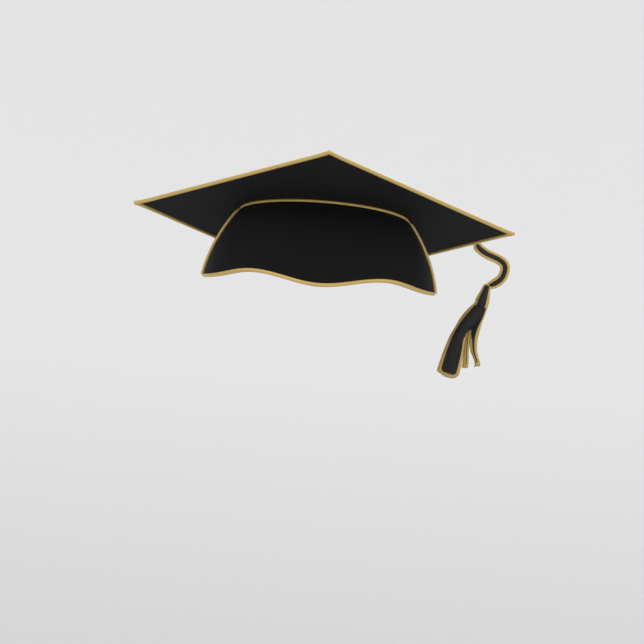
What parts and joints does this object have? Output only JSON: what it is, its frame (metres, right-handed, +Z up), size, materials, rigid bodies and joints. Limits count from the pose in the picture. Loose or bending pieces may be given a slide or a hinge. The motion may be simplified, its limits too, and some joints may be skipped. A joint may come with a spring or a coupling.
{
  "type": "graduation cap",
  "caption": "Square mortarboard on a lined skull cap, edged with gold piping, with a button and a hanging tassel on a cord.",
  "frame": {"origin": "the middle of the head opening, in the plane through the low tips of its wavy edge", "axes": "+Z up out of the head, -Y to the front, +X to the right as seen from the front"},
  "size_m": [0.3417, 0.3219, 0.1949],
  "materials": {
    "black_cloth": "matte woven cloth",
    "gold_piping": "satin gold cord",
    "board_card": "plain",
    "buckram": "stiff open weave",
    "lining_cloth": "smooth satin",
    "button_metal": "plain",
    "sweatband_skin": "matte",
    "elastic_band": "ribbed",
    "black_thread": "twisted thread",
    "gold_thread": "twisted thread"
  },
  "bodies": {
    "cap": {"board_core": "board_card", "board_top_cover": "black_cloth", "board_under_cover": "black_cloth", "board_piping": "gold_piping", "button_shell": "black_cloth", "button_back": "button_metal", "button_rivet": "button_metal", "rivet_washer": "button_metal", "crown_panel": "black_cloth", "crown_stiffener": "buckram", "crown_lining": "lining_cloth", "crown_piping": "gold_piping", "front_panel": "black_cloth", "back_panel": "black_cloth", "front_stiffener": "buckram", "back_stiffener": "buckram", "front_lining": "lining_cloth", "back_lining": "lining_cloth", "side_piping_left": "gold_piping", "side_piping_right": "gold_piping", "rim_binding": "gold_piping", "sweatband": "sweatband_skin", "back_elastic": "elastic_band"},
    "cord": {"tassel_loop": "black_thread", "loop_collar": "gold_thread", "cord_top": "black_thread"},
    "drop": {"cord_drop": "black_thread"},
    "knot": {"tassel_knot": "black_thread"},
    "tassel": {"tassel_head": "black_thread", "tassel_binding": "black_thread", "skirt_main": "black_thread", "wisp_inner": "black_thread", "wisp_outer": "black_thread", "gold_strand_left": "gold_thread", "gold_strand_right": "gold_thread"}
  },
  "joints": [
    {"name": "tassel_turn", "type": "hinge", "parent": "cap", "child": "cord", "pos_m": [0, 0, 0.0636], "axis": [0, 0.3338, 0.9426], "continuous": true},
    {"name": "cord_lift", "type": "hinge", "parent": "cord", "child": "drop", "pos_m": [0.1639, 0.05808, 0.04818], "axis": [0.3431, -0.8854, 0.3136], "range_deg": [-3, 75]},
    {"name": "knot_sway", "type": "hinge", "parent": "drop", "child": "knot", "pos_m": [0.1539, 0.05998, 0.01248], "axis": [0, -1, 0], "range_deg": [-8, 50]},
    {"name": "tassel_swing", "type": "hinge", "parent": "knot", "child": "tassel", "pos_m": [0.1539, 0.05998, 0.01248], "axis": [1, 0, 0], "range_deg": [-40, 40]}
  ]
}
